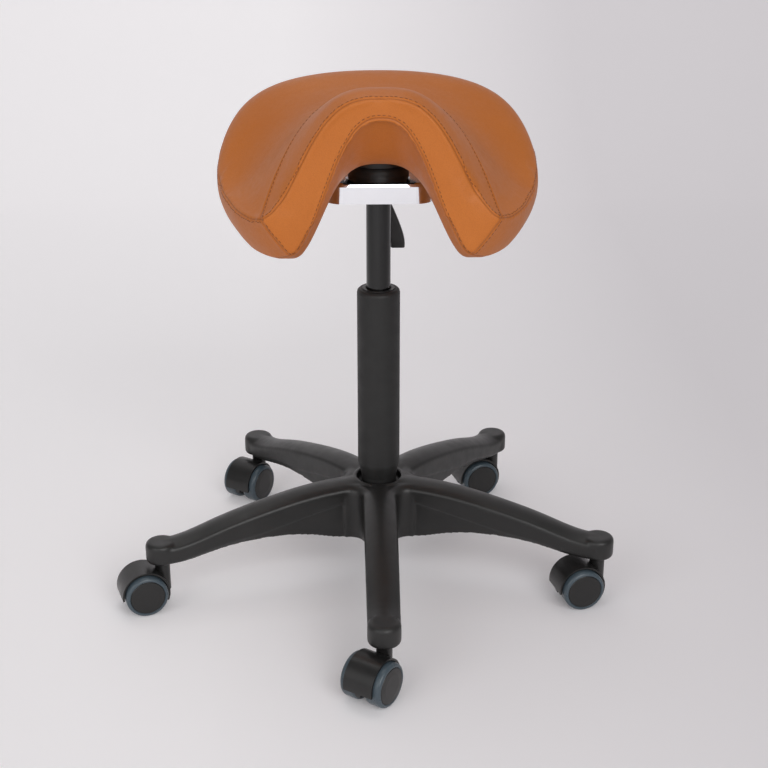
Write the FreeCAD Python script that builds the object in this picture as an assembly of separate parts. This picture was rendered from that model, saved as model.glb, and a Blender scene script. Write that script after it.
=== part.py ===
"""Saddle stool on a gas lift: padded saddle seat, rocking seat mount, release lever, column,
five-arm base and five twin-wheel castors. Millimetres, +Z up, front of the seat towards -Y.
The origin is on the floor, under the axis of the column."""

import FreeCAD, Part
import math
import os

V = FreeCAD.Vector
UP = V(0, 0, 1)
ORIGIN = V(0, 0, 0)

# Driving dimensions of the column and lift
COLUMN_R = 25.0
COLUMN_WALL = 1.5
COLUMN_FOOT_Z = 48.0
COLUMN_TOP_Z = 365.0
NECK_R = 20.8
NECK_TOP_Z = 146.0
NECK_FOOT_Z = 128.0
TUBE_R = 14.0
TUBE_BORE_R = 12.75
TUBE_FOOT_Z = 160.0
TUBE_TOP_Z = 484.0
TAPER_FOOT_Z = 471.0
TAPER_DROP_R = 0.9
ROD_R = 5.0
PISTON_Z = 310.0
PISTON_H = 15.0
RUN = 0.05

# Driving dimensions of the seat mount
TRAY_HALF_X = 60.0
TRAY_HALF_Y = 54.0
TRAY_CORNER_R = 20.0
TRAY_FOOT_Z = 479.0
TRAY_TOP_Z = 502.0
SHEET = 2.5
ROCK_Z = 512.0
ROCK_PIN_R = 4.0
CUP_TOP_Z = 526.0
PLATE_T = 4.0
BUFFER_R = 34.5
BUFFER_TOP_R = 19.0
BUFFER_GAP = 2.7

# Driving dimensions of the release lever
LEVER_PIVOT_Y = 16.0
NOSE_R = 3.0
BUTTON_R = 4.0
BUTTON_TOP_Z = 489.0
LEVER_PIVOT_Z = BUTTON_TOP_Z + NOSE_R + RUN

# Driving dimensions of the base
ARMS = 5
STEP_DEG = 360.0 / ARMS
FRONT_ARM_DEG = -90.0
HUB_FOOT_Z = 57.0
HUB_RIM_Z = 127.0
HUB_RIM_R = 30.0
HUB_RECESS_R = 26.8
HUB_RECESS_Z = 116.0
HUB_FILLET_R = 16.0
SOCKET_RADIUS = 270.0
ARM_END_R = 18.4
ARM_FOOT_Z = 58.3
ARM_END_Z = 83.6

# Driving dimensions of a castor
WHEEL_R = 25.0
WHEEL_FACE_Y = 25.5
WHEEL_INNER_Y = 5.0
TREAD_INNER_R = 20.5
TREAD_ROUND = 4.0
AXLE_R = 3.0
AXLE_END_Y = 22.5
TRAIL = 24.0
HOOD_R = 28.2
HOOD_WALL = 2.2
HOOD_HALF_WIDTH = 18.0
NECK_BOSS_R = 8.8
STEM_R = 5.5
STEM_TOP_Z = 75.0
# How each castor happens to be turned, counted from the front arm anticlockwise
CASTOR_TURN_DEG = (55.0, 14.0, 19.0, 57.0, 19.0)

# The seat: one row per station from front to back
# y, crest z, seam x, seam z, foot x, foot z, belly z, belly power, belly share, bulge
SEAT_STATIONS = (
    (-145.0, 614.0, 126.0, 489.0, 95.0, 448.0, 594.0, 1.30, 1.00, 2.0),
    (-120.0, 619.0, 140.0, 484.0, 113.0, 438.0, 565.0, 1.35, 0.80, 4.0),
    (-90.0, 611.0, 154.0, 484.0, 134.0, 437.0, 535.0, 1.40, 0.74, 5.0),
    (-60.0, 597.0, 164.0, 486.0, 146.0, 441.0, 528.0, 1.60, 0.90, 6.0),
    (-25.0, 583.0, 174.0, 489.0, 158.0, 446.0, 528.0, 1.80, 1.00, 6.0),
    (15.0, 577.0, 181.0, 496.0, 167.0, 455.0, 528.0, 1.80, 1.00, 6.0),
    (60.0, 584.0, 181.0, 510.0, 167.0, 473.0, 528.0, 1.80, 1.00, 6.0),
    (100.0, 593.5, 170.0, 526.0, 154.0, 491.0, 528.5, 1.80, 1.00, 6.0),
    (130.0, 589.5, 147.0, 547.0, 130.0, 508.0, 530.0, 1.80, 1.00, 6.0),
    (146.0, 583.5, 122.0, 558.0, 107.0, 517.0, 532.0, 1.80, 1.00, 5.0),
    (157.0, 578.0, 95.0, 564.0, 85.0, 523.0, 534.0, 1.80, 1.00, 4.0),
)
SEAT_FRONT_Y = SEAT_STATIONS[0][0]
SEAT_BACK_Y = SEAT_STATIONS[-1][0]
FRONT_CROWN = 5.0
BACK_CROWN = 4.0
FRONT_CROWN_INSET = 3.5
BACK_CROWN_INSET = 2.0
FRONT_POWER = 1.55
BACK_POWER = 2.3
BLEND_FROM_Y = -40.0
BLEND_TO_Y = 110.0
COVER_T = 1.6
SHELL_T = 9.0
SHELL_LIFT = 7.0
PAD_R = 58.0
PAD_TOP_Z = 545.0
BOLT_CIRCLE_R = 46.0
BOLT_R = 3.0


def rotated(shape, degrees, centre=ORIGIN, axis=UP):
    copy = shape.copy()
    copy.rotate(centre, axis, degrees)
    return copy


def moved(shape, x=0.0, y=0.0, z=0.0):
    copy = shape.copy()
    copy.translate(V(x, y, z))
    return copy


def cylinder(radius, z0, z1, x=0.0, y=0.0):
    return Part.makeCylinder(radius, z1 - z0, V(x, y, z0), UP)


def ring(outer, inner, z0, z1, x=0.0, y=0.0):
    return cylinder(outer, z0, z1, x, y).cut(cylinder(inner, z0 - 1, z1 + 1, x, y))


def pin_along(axis, radius, start, end, at):
    """A round pin along X or Y through the point at, from start to end on that axis."""
    direction = V(1, 0, 0) if axis == "x" else V(0, 1, 0)
    return Part.makeCylinder(radius, end - start, at + direction * start, direction)


def box(x0, x1, y0, y1, z0, z1):
    return Part.makeBox(x1 - x0, y1 - y0, z1 - z0, V(x0, y0, z0))


def turned(profile):
    """The solid turned about Z from an outline of (r, z) corners."""
    points = [V(r, 0, z) for r, z in profile]
    face = Part.Face(Part.makePolygon(points + points[:1]))
    return face.revolve(ORIGIN, UP, 360)


def arc_or_line(start, middle, end):
    """An arc through three points, or a line where they are nearly in line."""
    chord = end - start
    away = (middle - start).cross(chord).Length / chord.Length
    if away < 0.002:
        return Part.LineSegment(start, end).toShape()
    return Part.Arc(start, middle, end).toShape()


def wire_of_arcs(points):
    """A closed wire with an arc through every three points in turn, its ends shared."""
    count = len(points)
    edges = []
    for i in range(0, count, 2):
        edges.append(arc_or_line(points[i], points[i + 1], points[(i + 2) % count]))
    return Part.Wire(edges)


def rounded_rectangle(half_x, half_y, corner, z):
    """A closed wire of four lines and four quarter arcs, centred on the axis."""
    edges = []
    quarter = math.pi / 2
    centres = [(1, 1), (-1, 1), (-1, -1), (1, -1)]
    for i, (sx, sy) in enumerate(centres):
        cx, cy = sx * (half_x - corner), sy * (half_y - corner)
        a, b, c = (
            V(cx + corner * math.cos(t), cy + corner * math.sin(t), z)
            for t in (i * quarter, (i + 0.5) * quarter, (i + 1) * quarter)
        )
        edges.append(Part.Arc(a, b, c).toShape())
        nx, ny = centres[(i + 1) % 4]
        t = (i + 1) * quarter
        following = V(
            nx * (half_x - corner) + corner * math.cos(t),
            ny * (half_y - corner) + corner * math.sin(t),
            z,
        )
        edges.append(Part.LineSegment(c, following).toShape())
    return Part.Wire(edges)


def prism(wire, height):
    return Part.Face(wire).extrude(V(0, 0, height))


# The seat's surfaces
def station_at(y):
    """The seat's row of values at y, on a smooth curve through the stations."""
    rows = SEAT_STATIONS
    i = max(k for k in range(len(rows) - 1) if y >= rows[k][0] or k == 0)
    before, here = rows[max(i - 1, 0)], rows[i]
    there, after = rows[i + 1], rows[min(i + 2, len(rows) - 1)]
    span = there[0] - here[0]
    t = (y - here[0]) / span
    values = [y]
    for k in range(1, len(here)):
        slope0 = (there[k] - before[k]) / (there[0] - before[0]) * span
        slope1 = (after[k] - here[k]) / (after[0] - here[0]) * span
        values.append(
            here[k] * (2 * t**3 - 3 * t**2 + 1)
            + slope0 * (t**3 - 2 * t**2 + t)
            + there[k] * (3 * t**2 - 2 * t**3)
            + slope1 * (t**3 - t**2)
        )
    return values


def top_z(row, u):
    """Height of the seat's top at the share u of its half width."""
    y, crest, _, seam = row[:4]
    back = min(max((y - BLEND_FROM_Y) / (BLEND_TO_Y - BLEND_FROM_Y), 0.0), 1.0)
    back = back * back * (3 - 2 * back)
    u = min(abs(u), 1.0)
    front_drop = (1 - math.cos(math.pi * u**FRONT_POWER)) / 2
    back_drop = 1 - math.sqrt(1 - u**BACK_POWER)
    return crest - (crest - seam) * ((1 - back) * front_drop + back * back_drop)


def belly_z(row, u):
    """Height of the seat's underside at the share u of its half width."""
    foot, belly, power, share = row[5:9]
    reach = min(abs(u) / share, 1.0)
    return belly - (belly - foot) * (1 - math.cos(math.pi * reach**power)) / 2


TOP_SHARES = (-1, -0.94, -0.84, -0.7, -0.54, -0.4, -0.26, 0, 0.26, 0.4, 0.54, 0.7, 0.84, 0.94, 1)
BELLY_SHARES = (0.98, 0.86, 0.73, 0.6, 0.47, 0.34, 0, -0.34, -0.47, -0.6, -0.73, -0.86, -0.98)


def section_outline(row):
    """The seat's closed cross-section as (x, z) points: top, right band, underside, left band."""
    seam_x, seam_z, foot_x, foot_z = row[2:6]
    bulge = row[9]
    outline = [(u * seam_x, top_z(row, u)) for u in TOP_SHARES]
    across, down = seam_x - foot_x, seam_z - foot_z
    length = math.hypot(across, down)
    middle_x = (seam_x + foot_x) / 2 + bulge * down / length
    middle_z = (seam_z + foot_z) / 2 - bulge * across / length
    belly = [(u * foot_x, belly_z(row, u)) for u in BELLY_SHARES]
    outline.append((middle_x, middle_z))
    outline.extend(belly)
    outline.append((-middle_x, middle_z))
    return outline


def inset_outline(outline, inset):
    """The outline drawn in by the inset, each point along the mean of its two sides' normals."""
    count = len(outline)
    result = []
    for i, (x, z) in enumerate(outline):
        (x0, z0), (x1, z1) = outline[i - 1], outline[(i + 1) % count]
        nx, nz = z1 - z0, -(x1 - x0)
        length = math.hypot(nx, nz)
        result.append((x + inset * nx / length, z + inset * nz / length))
    return result


def seat_wire(y, inset, shape_y=None):
    row = station_at(y if shape_y is None else shape_y)
    outline = inset_outline(section_outline(row), inset)
    return wire_of_arcs([V(x, y, z) for x, z in outline])


def seat_loft(inset):
    """The whole cushion's form, drawn in by the inset. Both ends are crowned."""
    front, back = SEAT_FRONT_Y, SEAT_BACK_Y
    wires = [seat_wire(front - FRONT_CROWN + inset, FRONT_CROWN_INSET + inset, front)]
    for row in SEAT_STATIONS:
        y = min(max(row[0], front + inset), back - inset)
        wires.append(seat_wire(y, inset))
    wires.append(seat_wire(back + BACK_CROWN - inset, BACK_CROWN_INSET + inset, back))
    return Part.makeLoft(wires, True, False)


def seat_shell_sheet():
    """A curved moulded sheet that follows the underside, with a flat pad to mount on."""
    shares = (-0.66, -0.5, -0.3, 0.0, 0.3, 0.5, 0.66)
    wires = []
    for y in (-76.0, -60.0, -25.0, 15.0, 60.0, 100.0, 122.0):
        row = station_at(y)
        under = [V(u * row[4], y, belly_z(row, u) + SHELL_LIFT) for u in shares]
        over = [p + V(0, 0, SHELL_T) for p in reversed(under)]
        edges = [arc_or_line(*under[i : i + 3]) for i in (0, 2, 4)]
        edges.append(Part.LineSegment(under[-1], over[0]).toShape())
        edges += [arc_or_line(*over[i : i + 3]) for i in (0, 2, 4)]
        edges.append(Part.LineSegment(over[-1], under[0]).toShape())
        wires.append(Part.Wire(edges))
    sheet = Part.makeLoft(wires, True, False)
    pad = cylinder(PAD_R - 0.5, CUP_TOP_Z, PAD_TOP_Z)
    return sheet.fuse(pad).removeSplitter()


def around(count, radius, start_deg=45.0):
    """Points evenly spaced on a circle about the axis, as (x, y)."""
    angles = [math.radians(start_deg + 360.0 / count * i) for i in range(count)]
    return [(radius * math.cos(a), radius * math.sin(a)) for a in angles]


def seat_parts():
    outer, inner = seat_loft(0.0), seat_loft(COVER_T)
    shell = seat_shell_sheet()
    nuts, bolts, holes = [], [], []
    for x, y in around(4, BOLT_CIRCLE_R):
        barrel = ring(4.5, BOLT_R, CUP_TOP_Z + 1.0, PAD_TOP_Z - 1.5, x, y)
        flange = ring(9.0, BOLT_R, PAD_TOP_Z - 1.5, PAD_TOP_Z, x, y)
        nuts.append(barrel.fuse(flange).removeSplitter())
        holes.append(cylinder(4.5, CUP_TOP_Z - 1.0, PAD_TOP_Z, x, y))
        holes.append(cylinder(9.0, PAD_TOP_Z - 1.5, PAD_TOP_Z + 1.0, x, y))
        plate_foot = CUP_TOP_Z - PLATE_T
        head = cylinder(5.8, plate_foot - 1.2, plate_foot, x, y)
        head = head.fuse(cylinder(4.6, plate_foot - 4.5, plate_foot - 1.2, x, y))
        socket = cylinder(2.2, plate_foot - 5.0, plate_foot - 2.5, x, y)
        shank = cylinder(BOLT_R, plate_foot, PAD_TOP_Z, x, y)
        bolts.append(head.fuse(shank).cut(socket).removeSplitter())
    shell = shell.cut(Part.makeCompound(holes))
    opening = cylinder(PAD_R, CUP_TOP_Z - 10.0, CUP_TOP_Z + SHELL_LIFT)
    foam = inner.cut(shell).cut(opening).cut(cylinder(PAD_R - 0.5, CUP_TOP_Z, PAD_TOP_Z + 1.0))
    cover = outer.cut(inner).cut(opening)
    return {
        "seat_cover": cover,
        "seat_foam": foam,
        "seat_shell": shell,
        "tee_nuts": Part.makeCompound(nuts),
        "seat_bolts": Part.makeCompound(bolts),
    }


# The rocking seat mount
def rocking_mount_parts():
    plate_foot = CUP_TOP_Z - PLATE_T
    plate = prism(rounded_rectangle(44.0, 42.0, 14.0, plate_foot), PLATE_T)
    for x, y in around(4, BOLT_CIRCLE_R):
        plate = plate.cut(cylinder(3.2, plate_foot - 1, CUP_TOP_Z + 1, x, y))
    upper_ears = []
    for side in (-1, 1):
        y0, y1 = sorted((side * 10.2, side * 15.0))
        ear = box(-6.0, 6.0, y0, y1, ROCK_Z - 6.0, plate_foot)
        bore = pin_along("y", ROCK_PIN_R + RUN, y0 - 1, y1 + 1, V(0, 0, ROCK_Z))
        upper_ears.append(ear.cut(bore))
    rocker_plate = plate.fuse(upper_ears).removeSplitter()
    cup = turned([(36.0, 514.5), (38.0, 514.5), (39.0, plate_foot), (36.6, plate_foot)])
    cross = box(-8.0, 8.0, -8.0, 8.0, ROCK_Z - 5.0, ROCK_Z + 5.0)
    cross = cross.fuse(pin_along("x", ROCK_PIN_R, -15.0, 15.0, V(0, 0, ROCK_Z)))
    cross = cross.fuse(pin_along("y", ROCK_PIN_R, -15.0, 15.0, V(0, 0, ROCK_Z))).removeSplitter()
    lower_ears = []
    for side in (-1, 1):
        x0, x1 = sorted((side * 10.2, side * 15.0))
        ear = box(x0, x1, -6.0, 6.0, TRAY_TOP_Z, ROCK_Z + 6.0)
        bore = pin_along("x", ROCK_PIN_R + RUN, x0 - 1, x1 + 1, V(0, 0, ROCK_Z))
        lower_ears.append(ear.cut(bore))
    yoke = ring(16.5, 9.0, TRAY_TOP_Z, TRAY_TOP_Z + 2.0).fuse(lower_ears).removeSplitter()
    dome_foot = TRAY_TOP_Z + 2.0
    dome_height = plate_foot - BUFFER_GAP - dome_foot
    dome = [(18.0, TRAY_TOP_Z), (BUFFER_R, TRAY_TOP_Z)]
    for i in range(10):
        a = math.pi / 2 * i / 9
        reach = (BUFFER_R - BUFFER_TOP_R) * math.cos(a)
        dome.append((BUFFER_TOP_R + reach, dome_foot + dome_height * math.sin(a)))
    dome.append((18.0, dome_foot + dome_height))
    buffer = turned(dome)
    return {
        "rocker_plate": rocker_plate,
        "rocker_cup": cup,
        "rocker_cross": cross,
        "rocker_yoke": yoke,
        "rubber_buffer": buffer,
    }


def tray_parts():
    inset = SHEET + 0.5
    wires = [
        rounded_rectangle(TRAY_HALF_X, TRAY_HALF_Y, TRAY_CORNER_R, TRAY_FOOT_Z),
        rounded_rectangle(TRAY_HALF_X, TRAY_HALF_Y, TRAY_CORNER_R, TRAY_TOP_Z - 4.0),
        rounded_rectangle(TRAY_HALF_X - 1.2, TRAY_HALF_Y - 1.2, TRAY_CORNER_R - 1.2, TRAY_TOP_Z - 1.2),
        rounded_rectangle(TRAY_HALF_X - 4.0, TRAY_HALF_Y - 4.0, TRAY_CORNER_R - 4.0, TRAY_TOP_Z),
    ]
    tray = Part.makeLoft(wires, True, True)
    hollow_wire = rounded_rectangle(
        TRAY_HALF_X - inset, TRAY_HALF_Y - inset, TRAY_CORNER_R - inset, TRAY_FOOT_Z - 1.0
    )
    tray = tray.cut(prism(hollow_wire, TRAY_TOP_Z - SHEET - TRAY_FOOT_Z + 1.0))
    floor_wire = rounded_rectangle(
        TRAY_HALF_X - inset, TRAY_HALF_Y - inset, TRAY_CORNER_R - inset, TRAY_FOOT_Z + 1.0
    )
    floor_plate = prism(floor_wire, SHEET)
    floor_plate = floor_plate.cut(cylinder(21.0, TRAY_FOOT_Z, TRAY_FOOT_Z + 5.0))
    lever_slot = box(-7.0, 14.0, 23.0, 48.0, TRAY_FOOT_Z, TRAY_FOOT_Z + 5.0)
    floor_plate = floor_plate.cut(lever_slot)
    top_r = TUBE_R - TAPER_DROP_R + 0.03
    socket = turned(
        [
            (TUBE_R + 0.03, TAPER_FOOT_Z),
            (15.2, TAPER_FOOT_Z),
            (15.8, TAPER_FOOT_Z + 1.2),
            (17.0, TAPER_FOOT_Z + 3.4),
            (19.8, TAPER_FOOT_Z + 6.6),
            (20.6, TAPER_FOOT_Z + 8.4),
            (20.6, 484.0),
            (17.0, 486.0),
            (top_r, 486.0),
            (top_r, TUBE_TOP_Z),
        ]
    )
    roof = TRAY_TOP_Z - SHEET
    y0, y1 = LEVER_PIVOT_Y - 5, LEVER_PIVOT_Y + 5
    ears = []
    for side in (-1, 1):
        x0, x1 = sorted((side * 4.4, side * 7.4))
        ears.append(box(x0, x1, y0, y1, LEVER_PIVOT_Z - 5, roof))
    bridge = box(-7.4, 7.4, y0, y1, roof - 1.5, roof)
    pin = pin_along("x", 2.0, -8.4, 8.4, V(0, LEVER_PIVOT_Y, LEVER_PIVOT_Z))
    bracket = bridge.fuse(ears).removeSplitter().cut(pin)
    return {
        "mount_tray": tray,
        "mount_floor_plate": floor_plate,
        "taper_socket": socket,
        "lever_bracket": bracket,
        "lever_pin": pin,
    }


def swept_plates(stations, width_of):
    """A solid through upright rounded plates. Each station is (x, y, z, half width, half depth)."""
    wires = []
    for x, y, z, half_x, half_y in stations:
        wire = rounded_rectangle(half_x, half_y, width_of(half_x, half_y), z)
        wires.append(moved(wire, x, y))
    return Part.makeLoft(wires, True, False)


def lever_parts():
    bar_half = 4.0
    pivot = V(0, LEVER_PIVOT_Y, LEVER_PIVOT_Z)
    side = [
        (0.0, LEVER_PIVOT_Z + NOSE_R),
        (LEVER_PIVOT_Y + 1.0, LEVER_PIVOT_Z + NOSE_R),
        (30.0, LEVER_PIVOT_Z - 3.0),
        (36.0, 474.0),
        (36.0, 460.0),
        (30.0, 460.0),
        (30.0, 473.0),
        (25.0, LEVER_PIVOT_Z - 8.0),
        (LEVER_PIVOT_Y - 1.0, LEVER_PIVOT_Z - NOSE_R + 0.4),
        (0.0, LEVER_PIVOT_Z - NOSE_R + 0.4),
    ]
    points = [V(-bar_half, y, z) for y, z in side]
    bar = Part.Face(Part.makePolygon(points + points[:1])).extrude(V(2 * bar_half, 0, 0))
    nose = pin_along("x", NOSE_R, -bar_half, bar_half, V(0, 0, LEVER_PIVOT_Z))
    bore = pin_along("x", 2.0 + RUN, -bar_half - 1, bar_half + 1, pivot)
    bar = bar.fuse(nose).removeSplitter().cut(bore)
    grip_path = [
        (2.5, 33.0, 471.0, 5.5, 5.5),
        (6.5, 34.0, 460.0, 7.0, 6.0),
        (12.6, 37.0, 443.0, 8.2, 6.0),
        (18.8, 41.0, 424.0, 9.0, 5.5),
        (22.6, 44.0, 408.0, 9.0, 5.0),
        (23.6, 45.0, 400.0, 8.0, 4.2),
    ]
    grip = swept_plates(grip_path, lambda a, b: min(a, b) * 0.7)
    grip = grip.cut(bar)
    button = cylinder(BUTTON_R, TUBE_TOP_Z - 14.0, BUTTON_TOP_Z)
    return {"lever_bar": bar, "lever_grip": grip, "release_button": button}


# The gas lift and its column
def lift_parts():
    tube = turned(
        [
            (TUBE_BORE_R, TUBE_FOOT_Z),
            (TUBE_R, TUBE_FOOT_Z),
            (TUBE_R, TAPER_FOOT_Z),
            (TUBE_R - TAPER_DROP_R, TUBE_TOP_Z),
            (BUTTON_R + RUN, TUBE_TOP_Z),
            (BUTTON_R + RUN, TUBE_TOP_Z - 20.0),
            (TUBE_BORE_R - 1.0, TUBE_TOP_Z - 24.0),
            (TUBE_BORE_R, TUBE_TOP_Z - 30.0),
        ]
    )
    gland = ring(TUBE_BORE_R, ROD_R + RUN, TUBE_FOOT_Z, TUBE_FOOT_Z + 12.0)
    rod = cylinder(ROD_R, COLUMN_FOOT_Z - 7.0, PISTON_Z)
    groove = ring(ROD_R + 1.0, ROD_R - 1.0, COLUMN_FOOT_Z - 4.2, COLUMN_FOOT_Z - 3.0)
    rod = rod.cut(groove).cut(cylinder(1.0, PISTON_Z - 30.0, PISTON_Z + 1.0))
    piston = cylinder(TUBE_BORE_R - RUN, PISTON_Z, PISTON_Z + PISTON_H)
    return {
        "pressure_tube": tube,
        "rod_gland": gland,
        "piston_rod": rod,
        "piston": piston,
    }


def column_outer_r(z):
    """The outer radius of the column's neck, which tapers slowly inside the hub."""
    return NECK_R - max(0.0, HUB_RECESS_Z - z) * 0.035


def column_parts():
    bore = COLUMN_R - COLUMN_WALL
    top = COLUMN_TOP_Z
    lip = 19.0
    tube = turned(
        [
            (column_outer_r(COLUMN_FOOT_Z) - COLUMN_WALL, COLUMN_FOOT_Z),
            (column_outer_r(COLUMN_FOOT_Z), COLUMN_FOOT_Z),
            (NECK_R, HUB_RECESS_Z),
            (NECK_R, NECK_FOOT_Z),
            (NECK_R + 1.6, NECK_FOOT_Z + 7.0),
            (COLUMN_R - 0.7, NECK_TOP_Z - 4.0),
            (COLUMN_R, NECK_TOP_Z),
            (COLUMN_R, top - 5.0),
            (COLUMN_R - 0.7, top - 2.4),
            (COLUMN_R - 2.4, top - 0.7),
            (COLUMN_R - 5.0, top),
            (lip, top),
            (lip, top - 1.5),
            (COLUMN_R - 5.2, top - 1.6),
            (bore, top - 5.0),
            (bore, NECK_TOP_Z),
            (bore - 0.7, NECK_TOP_Z - 4.0),
            (NECK_R + 1.6 - COLUMN_WALL, NECK_FOOT_Z + 7.0),
            (NECK_R - COLUMN_WALL, NECK_FOOT_Z),
            (NECK_R - COLUMN_WALL, HUB_RECESS_Z),
        ]
    )
    bush = turned(
        [
            (TUBE_R + RUN, 252.0),
            (bore, 252.0),
            (bore, top - 5.2),
            (COLUMN_R - 5.4, top - 1.8),
            (lip - 0.2, top - 1.8),
            (lip - 0.2, top + 0.8),
            (TUBE_R + 1.2, top + 0.8),
            (TUBE_R + RUN, top - 0.6),
        ]
    )
    inner_foot_r = column_outer_r(COLUMN_FOOT_Z) - COLUMN_WALL - 0.05
    cap = ring(inner_foot_r, ROD_R + 0.6, COLUMN_FOOT_Z, COLUMN_FOOT_Z + 4.0)
    race_z = COLUMN_FOOT_Z + 4.0
    lower_race = ring(12.0, ROD_R + 0.6, race_z, race_z + 2.0)
    upper_race = ring(12.0, ROD_R, race_z + 4.3, race_z + 6.3)
    shoulder = ring(8.0, ROD_R, race_z + 6.3, race_z + 9.3)
    ball_z = race_z + 3.15
    balls = [Part.makeSphere(1.1, V(x, y, ball_z)) for x, y in around(12, 8.8, 0.0)]
    clip_gap = box(-2.5, 2.5, 0.0, 12.0, COLUMN_FOOT_Z - 6.0, COLUMN_FOOT_Z)
    clip = ring(8.0, ROD_R - 0.95, COLUMN_FOOT_Z - 4.1, COLUMN_FOOT_Z - 3.1).cut(clip_gap)
    return {
        "column_tube": tube,
        "guide_bush": bush,
        "column_end_cap": cap,
        "bearing_lower_race": lower_race,
        "bearing_upper_race": upper_race.fuse(shoulder).removeSplitter(),
        "bearing_balls": Part.makeCompound(balls),
        "retaining_clip": clip,
    }


# The base
# One row per station along an arm
# radius from the axis, crown z, foot z, half width, step z
ARM_STATIONS = (
    (8.0, 126.0, HUB_FOOT_Z, 19.8, 108.0),
    (45.0, 126.6, HUB_FOOT_Z, 19.8, 105.0),
    (62.0, 126.0, 58.6, 19.8, 102.0),
    (80.0, 124.6, 63.6, 19.7, 98.0),
    (120.0, 118.6, 70.8, 19.5, 89.0),
    (160.0, 110.0, 71.8, 19.2, 80.5),
    (200.0, 99.4, 67.8, 18.9, 74.5),
    (228.0, 90.4, 61.8, 18.6, 67.5),
    (247.0, 85.6, 58.5, 18.4, 62.5),
    (270.0, 83.6, ARM_FOOT_Z, 18.2, 61.5),
)
CROWN_DROP = 4.2
SHOULDER_DROP = 9.5
RIB_RADII = (70.0, 98.0, 126.0, 154.0, 182.0, 210.0)
RIB_T = 2.6


def arm_section(row, skin=0.0):
    """A cross-section of the arm that lies along +X. The skin draws it in for the hollow."""
    x, crown, foot, half, step = row
    step_in = 1.6 * max(0.15, min(1.0, (step - foot) / 20.0))
    top = crown - skin
    half = half - skin
    corner_z = crown - SHOULDER_DROP - skin * 0.4
    points = [
        V(x, -half + 5.0, foot),
        V(x, -half + step_in + 1.5, step - 1.2),
        V(x, -half + 1.2, step),
        V(x, -half, corner_z),
        V(x, -half + 3.6, top - CROWN_DROP),
    ]
    shoulder_mid = V(x, -half + 1.05, top - 5.9)
    mirror = [V(p.x, -p.y, p.z) for p in points]
    edges = [Part.LineSegment(points[i], points[i + 1]).toShape() for i in range(3)]
    edges.append(Part.Arc(points[3], shoulder_mid, points[4]).toShape())
    edges.append(Part.Arc(points[4], V(x, 0, top), mirror[4]).toShape())
    other_mid = V(x, -shoulder_mid.y, shoulder_mid.z)
    edges.append(Part.Arc(mirror[4], other_mid, mirror[3]).toShape())
    edges += [Part.LineSegment(mirror[i + 1], mirror[i]).toShape() for i in (2, 1, 0)]
    edges.append(Part.LineSegment(mirror[0], points[0]).toShape())
    return Part.Wire(edges)


def arm_hollow():
    """The pockets under an arm, with its ribs left standing between them."""
    wires = []
    for x, crown, foot, half, _ in ARM_STATIONS[1:-2]:
        roof, wall = crown - 6.5, half - 4.2
        low_wall = half - 8.6
        corners = [V(x, -low_wall, foot - 3), V(x, -wall, roof - 12), V(x, -wall + 4, roof)]
        corners += [V(x, -p.y, p.z) for p in reversed(corners)]
        wires.append(Part.makePolygon(corners + corners[:1]))
    hollow = Part.makeLoft(wires, True, True)
    ribs = [box(r - RIB_T / 2, r + RIB_T / 2, -30, 30, 40, 130) for r in RIB_RADII]
    ribs.append(box(40, 240, -RIB_T / 2, RIB_T / 2, 40, 130))
    return hollow.cut(Part.makeCompound(ribs))


def arm():
    body = Part.makeLoft([arm_section(row) for row in ARM_STATIONS], True, False)
    boss = cylinder(ARM_END_R, ARM_FOOT_Z, ARM_END_Z, SOCKET_RADIUS)
    rims = [e for e in boss.Edges if isinstance(e.Curve, Part.Circle)]
    upper = [e for e in rims if e.BoundBox.ZMin > ARM_FOOT_Z + 1]
    boss = boss.makeFillet(5.5, upper)
    lower = [e for e in boss.Edges if e.BoundBox.ZMax < ARM_FOOT_Z + 0.1]
    boss = boss.makeFillet(3.4, lower)
    body = body.fuse(boss)
    body = body.cut(arm_hollow())
    socket = cylinder(STEM_R + 0.1, ARM_FOOT_Z - 5.0, STEM_TOP_Z + 1.0, SOCKET_RADIUS)
    return body.cut(socket)


def hub_outline(z, inset):
    """The plan of the hub between the arms: a hollow arc in each gap, a line across each arm."""
    half = ARM_STATIONS[0][3] - inset
    half_step = math.radians(STEP_DEG / 2)
    fillet = HUB_FILLET_R + inset
    meet = half / math.sin(half_step)
    centre_r = meet + fillet / math.sin(half_step)
    swing = math.pi / 2 - half_step
    edges, ends = [], []
    for i in range(ARMS):
        bisector = math.radians(FRONT_ARM_DEG + STEP_DEG * (i + 0.5))
        centre = V(centre_r * math.cos(bisector), centre_r * math.sin(bisector), z)
        angles = [bisector + math.pi + k * swing for k in (1, 0, -1)]
        arc = [centre + V(fillet * math.cos(a), fillet * math.sin(a), 0) for a in angles]
        ends.append(arc)
    for i in range(ARMS):
        edges.append(Part.Arc(*ends[i]).toShape())
        edges.append(Part.LineSegment(ends[i][2], ends[(i + 1) % ARMS][0]).toShape())
    return Part.Wire(edges)


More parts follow.
